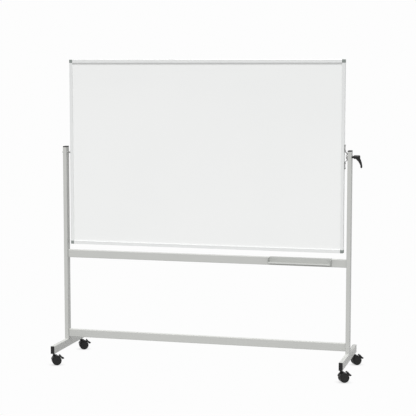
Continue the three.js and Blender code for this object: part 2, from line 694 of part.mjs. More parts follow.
function addPivots() {
  addOnPivot('pivot_bracket', bracketGeometry(), ZINC_STEEL);
  addBracketScrews();
  addOnPivot('clamp_stud', studGeometry(), ZINC_STEEL);
  addOnPivot('friction_washer', washerGeometry(), ZINC_STEEL);
  addOnPivot('clamp_lever', leverGeometry(), BLACK_PLASTIC);
  addOnPivot('left_pivot_bolt', leftBoltGeometry(), ZINC_STEEL);
  addOnPivot('left_pivot_bush', leftBushGeometry(), ZINC_STEEL);
}

// ---------------------------------------------------------------- casters

// A caster is made with its stem on Z and its wheels trailing towards +X. Outlines in its side
// view are [x, z], and angles are measured about the axle from +X upwards.
const AXLE_AT = [CASTER_TRAIL, WHEEL_RADIUS];

function pedalPivotPoint() {
  return [AXLE_AT[0] + PEDAL_PIVOT.along, AXLE_AT[1] + PEDAL_PIVOT.up];
}

function fenderSection() {
  return polygon([
    ...arc(AXLE_AT, FENDER_OUTER_RADIUS, FENDER_START, FENDER_END, 7),
    ...arc(AXLE_AT, FENDER_INNER_RADIUS, FENDER_END, FENDER_START, 7),
  ]);
}

function webSection() {
  return polygon([AXLE_AT, ...arc(AXLE_AT, FENDER_OUTER_RADIUS - 1, 86, 172, 6)]);
}

// Two lugs beside the web that carry the pedal's trunnions.
function cheekSection() {
  const lug = CHEEK_LUG_RADIUS;
  const pivot = pedalPivotPoint();
  const lean = THREE.MathUtils.radToDeg(Math.atan2(PEDAL_PIVOT.up, PEDAL_PIVOT.along));
  return polygon([
    ...arc(AXLE_AT, lug, lean + 90, lean + 270, 5),
    ...arc(pivot, lug, lean - 90, lean + 90, 6),
  ]);
}

function onAxle(geometry) {
  return geometry.translate(AXLE_AT[0], 0, AXLE_AT[1]);
}

function hoodGeometry() {
  const halfWidth = WHEEL_INNER_Y + WHEEL_WIDTH;
  const cheek = CHEEK_OUTER_Y;
  const [pivotX, pivotZ] = pedalPivotPoint();
  const fender = sidePrism(fenderSection(), [-halfWidth, halfWidth]);
  const web = sidePrism(webSection(), [-cheek, cheek]);
  const boss = onAxle(rodY(HUB_BOSS_RADIUS, -cheek, cheek));
  const lugs = [-1, 1].map((s) => {
    const span = [s * CHEEK_INNER_Y, s * cheek].sort((a, b) => a - b);
    return sidePrism(cheekSection(), span);
  });
  const housing = rodZ(HOUSING_RADIUS, HOUSING_BOTTOM_Z, HOUSING_TOP_Z);
  const solid = join(fender, web, boss, ...lugs, housing);
  const wheelRoom = [-1, 1].map((s) => {
    const span = [s * cheek, s * (halfWidth + 2)].sort((a, b) => a - b);
    return onAxle(rodY(WHEEL_ROOM_RADIUS, span[0], span[1], 28));
  });
  const atPivot = (geometry) => geometry.translate(pivotX, 0, pivotZ);
  const pedalRoom = atPivot(rodY(PEDAL_ROOM_RADIUS, -CHEEK_INNER_Y, CHEEK_INNER_Y));
  const trunnionHole = atPivot(rodY(TRUNNION_RADIUS + HOLE_CLEARANCE, -cheek - 1, cheek + 1, 10));
  const axleHole = onAxle(rodY(AXLE_RADIUS + GAP, -cheek - 1, cheek + 1, 14));
  const stemHole = rodZ(STEM_PIN_RADIUS + GAP, HOUSING_BOTTOM_Z - 1, HOUSING_TOP_Z + 1, 12);
  return cut(solid, ...wheelRoom, pedalRoom, trunnionHole, axleHole, stemHole);
}

// One wheel with its axle along Y, inner face towards the caster's middle.
function wheelGeometry(side) {
  const profile = [
    [0, WHEEL_WIDTH],
    [WHEEL_RADIUS - WHEEL_TREAD_ROUNDING, WHEEL_WIDTH],
    [WHEEL_RADIUS, WHEEL_WIDTH - WHEEL_TREAD_ROUNDING],
    [WHEEL_RADIUS, WHEEL_TREAD_ROUNDING],
    [WHEEL_RADIUS - WHEEL_TREAD_ROUNDING, 0],
    [AXLE_RADIUS + GAP, 0],
    [AXLE_RADIUS + GAP, AXLE_POCKET_DEPTH],
    [0, AXLE_POCKET_DEPTH],
  ].map(([radius, across]) => [radius, across + WHEEL_INNER_Y]);
  return onAxle(turned(profile.reverse(), 24).rotateX(side * -Math.PI / 2));
}

// A curved shoe over the wheels, a horn for the toe, and an arm down to the knuckle it turns on.
function pedalGeometry() {
  const [x, z] = AXLE_AT;
  const [pivotX, pivotZ] = pedalPivotPoint();
  const shoeRadius = WHEEL_RADIUS + PEDAL_SHOE_CLEARANCE;
  const plate = polygon([
    ...arc(AXLE_AT, shoeRadius, 20, 62, 6),
    [x + 22.5, z + 37],
    [x + 35, z + 22.5],
    [x + 35, z + 11.5],
  ]);
  const horn = polygon([
    [x + 31.5, z + 17],
    [x + 33.5, z + 21.5],
    [x + 47.6, z + 14.2],
    [x + 48.5, z + 12.6],
    [x + 47.2, z + 10.8],
    [x + 37.5, z + 6.2],
    [x + 32.5, z + 12.5],
  ]);
  const armHalf = CHEEK_INNER_Y - HOLE_CLEARANCE;
  const arm = polygon([
    [pivotX - 3.5, pivotZ + 2.5],
    [pivotX + 2.5, pivotZ - 3.5],
    ...arc(AXLE_AT, shoeRadius + 1, 34, 52, 2),
  ]);
  return join(
    sidePrism(plate, [-PEDAL_HALF_WIDTH, PEDAL_HALF_WIDTH]),
    sidePrism(horn, [-PEDAL_HORN_HALF_WIDTH, PEDAL_HORN_HALF_WIDTH]),
    sidePrism(arm, [-armHalf, armHalf]),
    rodY(PEDAL_KNUCKLE_RADIUS, -armHalf, armHalf, 12).translate(pivotX, 0, pivotZ),
    rodY(TRUNNION_RADIUS, -TRUNNION_HALF_LENGTH, TRUNNION_HALF_LENGTH, 10).translate(pivotX, 0, pivotZ),
  );
}

// Steel stem: threaded end up inside the foot, collar under it, plain pin down in the housing.
function stemGeometry() {
  const pinBottom = HOUSING_BOTTOM_Z + 1;
  const shoulder = HOUSING_TOP_Z + 0.5;
  const collarTop = FOOT_BOTTOM_Z - 0.2;
  const collarBottom = collarTop - STEM_COLLAR_HEIGHT;
  const top = FOOT_BOTTOM_Z + STEM_REACH_IN_FOOT;
  return turned([
    [0, pinBottom],
    [STEM_PIN_RADIUS, pinBottom],
    [STEM_PIN_RADIUS, shoulder],
    [STEM_RADIUS, shoulder],
    [STEM_RADIUS, collarBottom],
    [STEM_COLLAR_RADIUS, collarBottom],
    [STEM_COLLAR_RADIUS, collarTop],
    [STEM_RADIUS, collarTop],
    [STEM_RADIUS, top - 1],
    [STEM_RADIUS - 1, top],
    [0, top],
  ], 12);
}

function addCaster({ side, word }, { end, word: endWord }) {
  const name = `${endWord}_${word}_caster`;
  const caster = new THREE.Group();
  caster.position.set(side * POST_CENTRE_X, end * CASTER_STEM_Y, 0);
  caster.rotation.z = CASTER_TURN;
  whiteboard.add(caster);
  addPart(`${name}_stem`, stemGeometry(), ZINC_STEEL, caster);
  addPart(`${name}_hood`, hoodGeometry(), BLACK_PLASTIC, caster);
  const axle = onAxle(rodY(AXLE_RADIUS, -AXLE_HALF_LENGTH, AXLE_HALF_LENGTH, 14));
  addPart(`${name}_axle`, axle, ZINC_STEEL, caster);
  addPart(`${name}_near_wheel`, wheelGeometry(-1), WHEEL_PLASTIC, caster);
  addPart(`${name}_far_wheel`, wheelGeometry(1), WHEEL_PLASTIC, caster);
  addPart(`${name}_brake_pedal`, pedalGeometry(), BLACK_PLASTIC, caster);
}

// ---------------------------------------------------------------- assembly

for (const side of SIDES) {
  addPost(side);
  addPostCap(side);
  addFoot(side);
  for (const end of ENDS) {
    addFootCap(side, end);
    addCaster(side, end);
  }
}
addCrossbar('upper_crossbar', UPPER_BAR_TOP_Z);
addCrossbar('lower_crossbar', LOWER_BAR_TOP_Z);
addPenTray();
addPanel();
addRails();
addCorners();
addPivots();

export default whiteboard;
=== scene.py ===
"""Looks of the rolling whiteboard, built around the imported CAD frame.

Everything is in metres, in the frame of the CAD model: floor at Z = 0, writing side towards -Y.
"""

import json
import math

import bmesh
import bpy
from mathutils import Matrix, Vector


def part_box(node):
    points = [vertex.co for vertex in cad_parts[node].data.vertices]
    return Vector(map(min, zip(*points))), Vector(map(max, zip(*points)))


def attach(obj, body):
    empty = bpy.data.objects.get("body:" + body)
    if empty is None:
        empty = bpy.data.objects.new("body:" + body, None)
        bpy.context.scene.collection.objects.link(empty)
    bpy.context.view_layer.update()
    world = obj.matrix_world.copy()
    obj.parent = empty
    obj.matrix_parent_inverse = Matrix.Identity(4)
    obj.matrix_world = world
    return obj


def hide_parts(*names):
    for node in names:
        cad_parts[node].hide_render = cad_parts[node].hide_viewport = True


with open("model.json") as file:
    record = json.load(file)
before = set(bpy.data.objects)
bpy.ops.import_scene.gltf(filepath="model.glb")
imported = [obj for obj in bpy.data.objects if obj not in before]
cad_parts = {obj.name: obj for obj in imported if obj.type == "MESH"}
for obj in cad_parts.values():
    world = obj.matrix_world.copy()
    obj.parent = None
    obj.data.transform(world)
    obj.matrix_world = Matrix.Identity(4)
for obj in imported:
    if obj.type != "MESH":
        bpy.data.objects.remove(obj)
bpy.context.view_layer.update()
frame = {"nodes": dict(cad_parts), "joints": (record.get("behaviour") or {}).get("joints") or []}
NODES = frame["nodes"]
JOINTS = {joint["name"]: joint for joint in frame["joints"]}
MM = 0.001


# ---------------------------------------------------------------- camera, light and floor

CAMERA_PLACE = (2.1748, -8.1712, 1.9086)
CAMERA_PITCH = math.radians(83.994)
CAMERA_ROLL = math.radians(-0.009)
CAMERA_TURN = math.radians(14.906)
CAMERA_LENS = 115.41
SENSOR_WIDTH = 36.0

BACKGROUND = 0.982                  # what the camera sees behind the object
FILL_LIGHT = 0.54                   # even light from all round
KEY_STRENGTH = 3.06
KEY_FROM = (0.03, -0.386, 0.92)     # the key light comes from above, a little in front
KEY_ANGLE = math.radians(14)
FLOOR_HALF_SIZE = 60.0
FLOOR_SHADE_REACH = 0.035           # how far from the object the floor still darkens
# FLOOR_DARKEST sets the painted shade of the floor right under a wheel.
FLOOR_DARKEST = 0.55                # the floor right under a wheel


def add_camera():
    data = bpy.data.cameras.new("front_camera")
    data.lens = CAMERA_LENS
    data.sensor_width = SENSOR_WIDTH
    camera = bpy.data.objects.new("front_camera", data)
    camera.location = CAMERA_PLACE
    camera.rotation_euler = (CAMERA_PITCH, CAMERA_ROLL, CAMERA_TURN)
    bpy.context.scene.collection.objects.link(camera)
    bpy.context.scene.camera = camera


def add_world():
    world = bpy.data.worlds.new("studio")
    world.use_nodes = True
    bpy.context.scene.world = world
    tree = world.node_tree
    tree.nodes.clear()
    link = tree.links.new
    seen = tree.nodes.new("ShaderNodeBackground")
    seen.inputs["Color"].default_value = (BACKGROUND, BACKGROUND, BACKGROUND, 1)
    fill = tree.nodes.new("ShaderNodeBackground")
    fill.inputs["Color"].default_value = (1, 1, 1, 1)
    fill.inputs["Strength"].default_value = FILL_LIGHT
    rays = tree.nodes.new("ShaderNodeLightPath")
    mix = tree.nodes.new("ShaderNodeMixShader")
    out = tree.nodes.new("ShaderNodeOutputWorld")
    link(rays.outputs["Is Camera Ray"], mix.inputs["Fac"])
    link(fill.outputs["Background"], mix.inputs[1])
    link(seen.outputs["Background"], mix.inputs[2])
    link(mix.outputs["Shader"], out.inputs["Surface"])


def add_key_light():
    data = bpy.data.lights.new("key", "SUN")
    data.energy = KEY_STRENGTH
    data.angle = KEY_ANGLE
    key = bpy.data.objects.new("key", data)
    key.rotation_euler = Vector(KEY_FROM).to_track_quat("Z", "Y").to_euler()
    bpy.context.scene.collection.objects.link(key)


def add_floor():
    """A pale floor that glows evenly, darkened by painted shade close to what stands on it, and lights
    nothing itself.
    """
    half = FLOOR_HALF_SIZE
    mesh = bpy.data.meshes.new("floor")
    corners = [(-half, -half, 0), (half, -half, 0), (half, half, 0), (-half, half, 0)]
    mesh.from_pydata(corners, [], [(0, 1, 2, 3)])
    floor = bpy.data.objects.new("floor", mesh)
    bpy.context.scene.collection.objects.link(floor)
    floor.visible_diffuse = False
    material = bpy.data.materials.new("pale_floor")
    material.use_nodes = True
    tree = material.node_tree
    tree.nodes.clear()
    # Ambient occlusion darkens the floor's glow: painted contact shade.
    shade = tree.nodes.new("ShaderNodeAmbientOcclusion")
    shade.samples = 8
    shade.inputs["Distance"].default_value = FLOOR_SHADE_REACH
    ramp = tree.nodes.new("ShaderNodeMapRange")
    ramp.inputs["To Min"].default_value = FLOOR_DARKEST
    ramp.inputs["To Max"].default_value = BACKGROUND
    glow = tree.nodes.new("ShaderNodeEmission")
    out = tree.nodes.new("ShaderNodeOutputMaterial")
    tree.links.new(shade.outputs["AO"], ramp.inputs["Value"])
    tree.links.new(ramp.outputs["Result"], glow.inputs["Color"])
    tree.links.new(glow.outputs["Emission"], out.inputs["Surface"])
    mesh.materials.append(material)


# ---------------------------------------------------------------- materials

class Shader:
    """A principled material with a few short ways to add noise to it."""

    def __init__(self, name, color, roughness, metallic=0.0):
        self.material = bpy.data.materials.new(name)
        self.material.use_nodes = True
        self.nodes = self.material.node_tree.nodes
        self.link = self.material.node_tree.links.new
        self.surface = self.nodes["Principled BSDF"]
        self.surface.inputs["Base Color"].default_value = (*color, 1)
        self.surface.inputs["Roughness"].default_value = roughness
        self.surface.inputs["Metallic"].default_value = metallic
        self.color = color
        self.place = self.nodes.new("ShaderNodeTexCoord").outputs["Object"]
        self.last_bump = None

    def stretched(self, scale):
        """Object coordinates scaled by a different amount along each axis."""
        mapping = self.nodes.new("ShaderNodeMapping")
        mapping.inputs["Scale"].default_value = scale
        self.link(self.place, mapping.inputs["Vector"])
        return mapping.outputs["Vector"]

    def noise(self, scale, detail=3.0, where=None):
        node = self.nodes.new("ShaderNodeTexNoise")
        node.inputs["Scale"].default_value = scale
        node.inputs["Detail"].default_value = detail
        self.link(where or self.place, node.inputs["Vector"])
        return node.outputs["Fac"]

    def spread(self, value, low, high):
        """Maps a noise value of about 0.3 to 0.7 onto a range."""
        node = self.nodes.new("ShaderNodeMapRange")
        node.inputs["From Min"].default_value = 0.3
        node.inputs["From Max"].default_value = 0.7
        node.inputs["To Min"].default_value = low
        node.inputs["To Max"].default_value = high
        self.link(value, node.inputs["Value"])
        return node.outputs["Result"]

    def vary_color(self, value, other):
        """Mixes from the base colour to another one with a 0 to 1 value."""
        node = self.nodes.new("ShaderNodeMix")
        node.data_type = "RGBA"
        node.inputs["A"].default_value = (*self.color, 1)
        node.inputs["B"].default_value = (*other, 1)
        self.link(value, node.inputs["Factor"])
        self.link(node.outputs["Result"], self.surface.inputs["Base Color"])

    def vary_roughness(self, value, low, high):
        self.link(self.spread(value, low, high), self.surface.inputs["Roughness"])

    def bump(self, height, strength, distance):
        node = self.nodes.new("ShaderNodeBump")
        node.inputs["Strength"].default_value = strength
        node.inputs["Distance"].default_value = distance
        self.link(height, node.inputs["Height"])
        if self.last_bump:
            self.link(self.last_bump, node.inputs["Normal"])
        self.last_bump = node.outputs["Normal"]
        self.link(self.last_bump, self.surface.inputs["Normal"])


def powder_coat(name, color):
    """Light grey coat with a fine orange peel."""
    shader = Shader(name, color, 0.42)
    darker = tuple(channel * 0.975 for channel in color)
    shader.vary_color(shader.spread(shader.noise(3.0), 0, 1), darker)
    shader.vary_roughness(shader.noise(40.0), 0.38, 0.48)
    shader.bump(shader.noise(700.0), 0.12, 0.1 * MM)
    return shader.material


def anodised(name, along):
    """Satin aluminium extrusion, with fine drawing lines along one axis."""
    shader = Shader(name, (0.86, 0.87, 0.865), 0.36, 0.55)
    fine = [1400.0, 1400.0, 1400.0]
    fine["XYZ".index(along)] = 6.0
    lines = shader.noise(1.0, 2.0, shader.stretched(fine))
    shader.vary_color(shader.spread(lines, 0, 1), (0.82, 0.83, 0.825))
    shader.vary_roughness(lines, 0.32, 0.42)
    shader.bump(lines, 0.10, 0.05 * MM)
    return shader.material


def enamel():
    """Glossy white writing surface: hardly uneven, with faint cloudy wiping marks."""
    shader = Shader("enamel", (0.930, 0.936, 0.930), 0.16)
    shader.vary_color(shader.spread(shader.noise(1.6, 2.0), 0, 1), (0.915, 0.924, 0.917))
    smears = shader.noise(1.0, 4.0, shader.stretched((2.0, 2.0, 9.0)))
    shader.vary_roughness(smears, 0.13, 0.22)
    shader.bump(shader.noise(5.0, 2.0), 0.10, 1.0 * MM)
    shader.surface.inputs["Coat Weight"].default_value = 0.3
    shader.surface.inputs["Coat Roughness"].default_value = 0.08
    return shader.material


def fibreboard():
    shader = Shader("fibreboard", (0.50, 0.38, 0.25), 0.85)
    shader.vary_color(shader.spread(shader.noise(260.0, 5.0), 0, 1), (0.36, 0.26, 0.16))
    shader.bump(shader.noise(500.0), 0.4, 0.2 * MM)
    return shader.material


def moulded(name, color, roughness, shine=0.5, grain=1200.0):
    """Injection-moulded plastic with a fine even grain."""
    shader = Shader(name, color, roughness)
    shader.surface.inputs["Specular IOR Level"].default_value = shine
    lighter = tuple(channel * 1.25 for channel in color)
    shader.vary_color(shader.spread(shader.noise(60.0), 0, 1), lighter)
    shader.vary_roughness(shader.noise(150.0), roughness - 0.05, roughness + 0.08)
    shader.bump(shader.noise(grain, 2.0), 0.18, 0.08 * MM)
    return shader.material


def zinc_plate():
    """Zinc-plated steel: satin, a little mottled."""
    shader = Shader("zinc_plate", (0.41, 0.41, 0.40), 0.38, 0.85)
    shader.vary_color(shader.spread(shader.noise(180.0, 4.0), 0, 1), (0.38, 0.38, 0.38))
    shader.vary_roughness(shader.noise(90.0, 3.0), 0.34, 0.42)
    shader.bump(shader.noise(900.0), 0.10, 0.05 * MM)
    return shader.material


MATERIALS = {
    "powder": powder_coat("powder_coat", (0.560, 0.566, 0.545)),
    # The tray and its ends get the stand's powder coat made darker: painted shade standing in for the
    # shade in the tray's trough.
    "tray_powder_with_painted_shade": powder_coat("tray_coat_with_painted_shade", (0.500, 0.508, 0.490)),
    "anodised_x": anodised("anodised_across", "X"),
    "anodised_z": anodised("anodised_upright", "Z"),
    "enamel": enamel(),
    "fibreboard": fibreboard(),
    "grey_plastic": moulded("grey_plastic", (0.215, 0.240, 0.228), 0.42),
    "cap_plastic": moulded("cap_plastic", (0.014, 0.014, 0.014), 0.42, 0.35),
    "black_plastic": moulded("black_plastic", (0.010, 0.010, 0.010), 0.40, 0.3),
    "wheel_plastic": moulded("wheel_plastic", (0.012, 0.012, 0.012), 0.45, 0.25),
    "zinc": zinc_plate(),
}

SHARP_ANGLE = math.radians(33)
WELD_DISTANCE = 1e-6

NODE_MATERIALS = {
    "left_post": "powder",
    "right_post": "powder",
    "upper_crossbar": "powder",
    "lower_crossbar": "powder",
    "left_foot": "powder",
    "right_foot": "powder",
    # The tray's darker coat is painted shade, not a different paint.
    "pen_tray": "tray_powder_with_painted_shade",
    "left_tray_end": "tray_powder_with_painted_shade",
    "right_tray_end": "tray_powder_with_painted_shade",
    "top_rail": "anodised_x",
    "bottom_rail": "anodised_x",
    "left_rail": "anodised_z",
    "right_rail": "anodised_z",
    "front_sheet": "enamel",
    "rear_sheet": "enamel",
    "board_core": "fibreboard",
}
# Materials by the end of a node's name. All other nodes are zinc-plated.
NAME_ENDINGS = {
    "_corner": "grey_plastic",
    "_cap": "cap_plastic",
    "_hood": "black_plastic",
    "_brake_pedal": "black_plastic",
    "_lever": "black_plastic",
    "_wheel": "wheel_plastic",
}

# Width in millimetres of the rounding along each node's sharp edges.
ROUNDED_NODES = {
    "left_post": 0.6,
    "right_post": 0.6,
    "upper_crossbar": 0.6,
    "lower_crossbar": 0.6,
    "left_foot": 0.6,
    "right_foot": 0.6,
    "pen_tray": 0.5,
    "left_tray_end": 0.5,
    "right_tray_end": 0.5,
    "top_rail": 0.3,
    "bottom_rail": 0.3,
    "left_rail": 0.3,
    "right_rail": 0.3,
    "top_left_corner": 0.5,
    "top_right_corner": 0.5,
    "bottom_left_corner": 0.5,
    "bottom_right_corner": 0.5,
    "pivot_bracket": 0.6,
    "clamp_stud": 0.5,
    "left_pivot_bolt": 0.5,
}


def material_key(node):
    if node in NODE_MATERIALS:
        return NODE_MATERIALS[node]
    for ending, key in NAME_ENDINGS.items():
        if node.endswith(ending):
            return key
    return "zinc"


def rounded_shading():
    """A modifier's nodes: joins a CAD mesh's split corners and shades its curves smooth."""
    group = bpy.data.node_groups.new("rounded_shading", "GeometryNodeTree")
    group.interface.new_socket("Geometry", in_out="INPUT", socket_type="NodeSocketGeometry")
    group.interface.new_socket("Geometry", in_out="OUTPUT", socket_type="NodeSocketGeometry")
    nodes = group.nodes
    link = group.links.new
    join = nodes.new("GeometryNodeMergeByDistance")
    join.inputs["Distance"].default_value = WELD_DISTANCE
    forget = nodes.new("GeometryNodeRemoveAttribute")
    forget.inputs["Name"].default_value = "custom_normal"
    faces = nodes.new("GeometryNodeSetShadeSmooth")
    faces.domain = "FACE"
    edges = nodes.new("GeometryNodeSetShadeSmooth")
    edges.domain = "EDGE"
    angle = nodes.new("GeometryNodeInputMeshEdgeAngle")
    gentle = nodes.new("FunctionNodeCompare")
    gentle.operation = "LESS_THAN"
    gentle.inputs["B"].default_value = SHARP_ANGLE
    link(nodes.new("NodeGroupInput").outputs["Geometry"], join.inputs["Geometry"])
    link(join.outputs["Geometry"], forget.inputs["Geometry"])
    link(forget.outputs["Geometry"], faces.inputs["Geometry"])
    link(faces.outputs["Geometry"], edges.inputs["Geometry"])
    link(angle.outputs["Unsigned Angle"], gentle.inputs["A"])
    link(gentle.outputs["Result"], edges.inputs["Shade Smooth"])
    link(edges.outputs["Geometry"], nodes.new("NodeGroupOutput").inputs["Geometry"])
    return group


def round_edges(piece, width, segments=2):
    """Bevels a piece's sharp edges, and keeps its flat faces shaded flat."""
    bevel = piece.modifiers.new("bevel", "BEVEL")
    bevel.limit_method = "ANGLE"
    bevel.angle_limit = SHARP_ANGLE
    bevel.width = width
    bevel.segments = segments
    normals = piece.modifiers.new("normals", "WEIGHTED_NORMAL")
    normals.weight = 100


def dress_cad_nodes():
    shading = rounded_shading()
    for name, node in NODES.items():
        node.data.materials.clear()
        node.data.materials.append(MATERIALS[material_key(name)])
        node.modifiers.new("shading", "NODES").node_group = shading
        if name in ROUNDED_NODES:
            round_edges(node, ROUNDED_NODES[name] * MM)


# ---------------------------------------------------------------- shapes
# Shapes are made in millimetres about their own axes, and set into the frame at the end.

def arc(centre, radius, start, end, steps):
    """Points on an arc about a centre, from one angle to another in degrees."""
    points = []
    for step in range(steps + 1):
        angle = math.radians(start + (end - start) * step / steps)
        points.append((centre[0] + radius * math.cos(angle), centre[1] + radius * math.sin(angle)))
    return points


def circle(centre, radius, steps=48):
    return arc(centre, radius, 0, 360, steps)[:-1]


def shape_from(points, faces):
    mesh = bpy.data.meshes.new("shape")
    mesh.from_pydata(points, [], faces)
    working = bmesh.new()
    working.from_mesh(mesh)
    bmesh.ops.recalc_face_normals(working, faces=working.faces)
    working.to_mesh(mesh)
    working.free()
    mesh.shade_smooth()
    mesh.set_sharp_from_angle(angle=SHARP_ANGLE)
    shape = bpy.data.objects.new("shape", mesh)
    bpy.context.scene.collection.objects.link(shape)
    return shape


def loft(rings):
    """A skin over rings that have the same number of points, closed flat at both ends."""
    count = len(rings[0])
    points = [point for ring in rings for point in ring]
    last = len(points) - count
    faces = [tuple(range(count)), tuple(range(last, last + count))]
    for start in range(0, last, count):
        for i in range(count):
            j = (i + 1) % count
            faces.append((start + i, start + j, start + count + j, start + count + i))
    return shape_from(points, faces)


def turned(profile, segments=96):
    """A profile of (radius, height) points turned about Z, closed flat at both ends."""
    return loft([[(x, y, height) for x, y in circle((0, 0), radius, segments)]
                 for radius, height in profile])


def slab(outline, low, high):
    """An outline of (x, z) points drawn out along Y between two planes."""
    return loft([[(x, y, z) for x, z in outline] for y in (low, high)])


def settle(shape):
    """Makes what a shape's modifiers do permanent."""
    bpy.context.view_layer.update()
    evaluated = shape.evaluated_get(bpy.context.evaluated_depsgraph_get())
    mesh = bpy.data.meshes.new_from_object(evaluated)
    shape.modifiers.clear()
    shape.data = mesh
    return shape


def combine(shape, others, operation):
    for other in others:
        modifier = shape.modifiers.new(operation, "BOOLEAN")
        modifier.operation = operation
        modifier.solver = "MANIFOLD"
        modifier.object = other
    settle(shape)
    for other in others:
        bpy.data.objects.remove(other)
    return shape


def joined(shape, *others):
    return combine(shape, others, "UNION")


def without(shape, *others):
    return combine(shape, others, "DIFFERENCE")


def moved(shape, matrix):
    shape.data.transform(matrix)
    return shape


def shaded(shape):
    """Smooth shading that keeps flat faces flat and sharp edges sharp."""
    shape.data.shade_smooth()
    shape.data.set_sharp_from_angle(angle=SHARP_ANGLE)
    normals = shape.modifiers.new("normals", "WEIGHTED_NORMAL")
    normals.weight = 100
    normals.keep_sharp = True
    return settle(shape)


def add_piece(node, shape, matrix, body, material):
    """Sets a copy of a shape into the frame, in place of a CAD node."""
    mesh = shape.data.copy()
    mesh.transform(matrix @ Matrix.Scale(MM, 4))
    mesh.materials.clear()
    mesh.materials.append(MATERIALS[material])
    piece = bpy.data.objects.new(node + "_detailed", mesh)
    mesh.name = piece.name
    bpy.context.scene.collection.objects.link(piece)
    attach(piece, body)
    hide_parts(node)


# ---------------------------------------------------------------- caps

TUBE_CORNER_RADIUS = 3.0
CAP_PLUG_LENGTH = 13.0
CAP_PLUG_INSET = 2.1
POST_TUBE = (25.0, 50.0)
FOOT_TUBE = (25.0, 50.0)
# Height above the tube's end, and how far the outline is drawn in there.
POST_CAP_PROFILE = [(0, 0.2), (0.3, 0), (3.9, 0), (4.9, 0.4), (5.7, 1.2), (6.3, 2.4), (6.5, 3.8)]
FOOT_CAP_PROFILE = [(0, 0.2), (0.2, 0), (1.1, 0), (1.6, 0.3), (1.9, 0.8), (2.0, 1.6), (2.0, 3.2),
                    (1.8, 3.5), (1.5, 3.9)]


def rounded_rectangle(width, height, radius):
    points = []
    for quarter, (sign_x, sign_y) in enumerate(((1, 1), (-1, 1), (-1, -1), (1, -1))):
        centre = (sign_x * (width / 2 - radius), sign_y * (height / 2 - radius))
        points += arc(centre, radius, 90 * quarter, 90 * quarter + 90, 6)
    return points


def cap_shape(tube, profile):
    """A cap with its plug down the tube, head towards +Z."""
    levels = [(-CAP_PLUG_LENGTH, CAP_PLUG_INSET + 0.6), (1 - CAP_PLUG_LENGTH, CAP_PLUG_INSET),
              (0, CAP_PLUG_INSET)] + profile
    rings = []
    for height, inset in levels:
        radius = max(TUBE_CORNER_RADIUS - inset, 0.6)
        outline = rounded_rectangle(tube[0] - 2 * inset, tube[1] - 2 * inset, radius)
        rings.append([(x, y, height) for x, y in outline])
    return loft(rings)


def add_post_caps():
    shape = cap_shape(POST_TUBE, POST_CAP_PROFILE)
    for side in ("left", "right"):
        low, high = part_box(f"{side}_post_cap")
        seat = Vector(((low.x + high.x) / 2, 0, high.z - POST_CAP_PROFILE[-1][0] * MM))
        add_piece(f"{side}_post_cap", shape, Matrix.Translation(seat), "stand",
                  "cap_plastic")
    bpy.data.objects.remove(shape)


def add_foot_caps():
    shape = cap_shape(FOOT_TUBE, FOOT_CAP_PROFILE)
    thickness = max(height for height, inset in FOOT_CAP_PROFILE) * MM
    for side in ("left", "right"):
        for end, sign in (("front", -1), ("rear", 1)):
            node = f"{side}_foot_{end}_cap"
            low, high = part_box(node)
            face = high.y if sign > 0 else low.y
            seat = Vector(((low.x + high.x) / 2, face - sign * thickness, (low.z + high.z) / 2))
            turn = Matrix.Rotation(-sign * math.pi / 2, 4, "X")
            add_piece(node, shape, Matrix.Translation(seat) @ turn, "stand",
                      "black_plastic")
    bpy.data.objects.remove(shape)


# ---------------------------------------------------------------- casters
# A caster is made with its stem on Z and its wheels trailing towards +X.

AXLE_AT = (16.0, 30.0)              # X and Z
WHEEL_INNER_Y = 6.0
WHEEL_WIDTH = 16.0
WHEEL_ROOM_RADIUS = 30.7
FENDER_RADII = (31.2, 34.0)
FENDER_ANGLES = (82.0, 168.0)
FENDER_HALF_WIDTH = 22.0
CHEEK_INNER_Y = 2.9
CHEEK_OUTER_Y = 5.2
WEB_ANGLES = (86.0, 172.0)
BOSS_RADIUS = 12.0
AXLE_HOLE_RADIUS = 3.3
STEM_HOLE_RADIUS = 3.5
PEDAL_PIVOT = (26.0, 44.0)          # X and Z
PEDAL_PIVOT_LEAN = math.degrees(math.atan2(PEDAL_PIVOT[1] - AXLE_AT[1], PEDAL_PIVOT[0] - AXLE_AT[0]))
LUG_RADIUS = 5.5
TRUNNION_HOLE_RADIUS = 2.5
TRUNNION_RADIUS = 2.1
TRUNNION_HALF_LENGTH = 4.9
KNUCKLE_RADIUS = 4.4
KNUCKLE_ROOM_RADIUS = 8.0
ARM_HALF_WIDTH = 2.5
SHOE_RADIUS = 32.2
SHOE_ANGLES = (20.0, 62.0)
SHOE_HALF_WIDTH = 17.0
HORN_HALF_WIDTH = 12.0
RIB_COUNT = 4
RIB_FIRST = 4.2                     # from the top of the horn's slope
RIB_SPACING = 2.8
RIB_HALF_WIDTH = 9.5

# Radius and distance from the wheel's inner face: pocket for the axle, hub, dished web, rounded
# tread, then the outer face with a groove round a flat disc and a shallow dimple in its middle.
WHEEL_PROFILE = [
    (3.3, 13.0), (3.3, 0.4), (3.7, 0.0), (7.6, 0.0), (8.0, 0.4), (8.3, 2.0), (9.0, 2.4),
    (24.0, 2.4), (24.8, 2.0), (25.2, 0.4), (25.6, 0.0), (27.4, 0.0), (28.5, 0.25), (29.4, 0.9),
    (29.85, 1.9), (29.95, 4.0), (30.0, 8.0), (29.95, 12.0), (29.85, 14.1), (29.4, 15.1),
    (28.5, 15.75), (27.4, 16.0), (25.9, 16.0), (25.5, 15.85), (25.2, 15.0), (24.7, 14.8),
    (24.2, 15.0), (23.9, 15.55), (23.4, 15.75), (14.0, 15.9), (6.6, 15.95), (6.2, 15.8),
    (5.8, 15.2), (5.2, 15.0), (1.0, 14.95),
]
STEM_PROFILE = [
    (2.8, 51.0), (3.2, 51.4), (3.2, 71.5), (5.0, 71.5), (5.0, 73.8), (8.1, 73.8), (8.5, 74.2),
    (8.5, 76.4), (8.1, 76.8), (5.0, 76.8), (5.0, 104.0), (4.0, 105.0),
]
HOUSING_PROFILE = [(9.0, 50.0), (9.5, 50.5), (9.5, 68.6), (9.2, 69.9), (8.4, 70.7), (7.2, 71.0)]


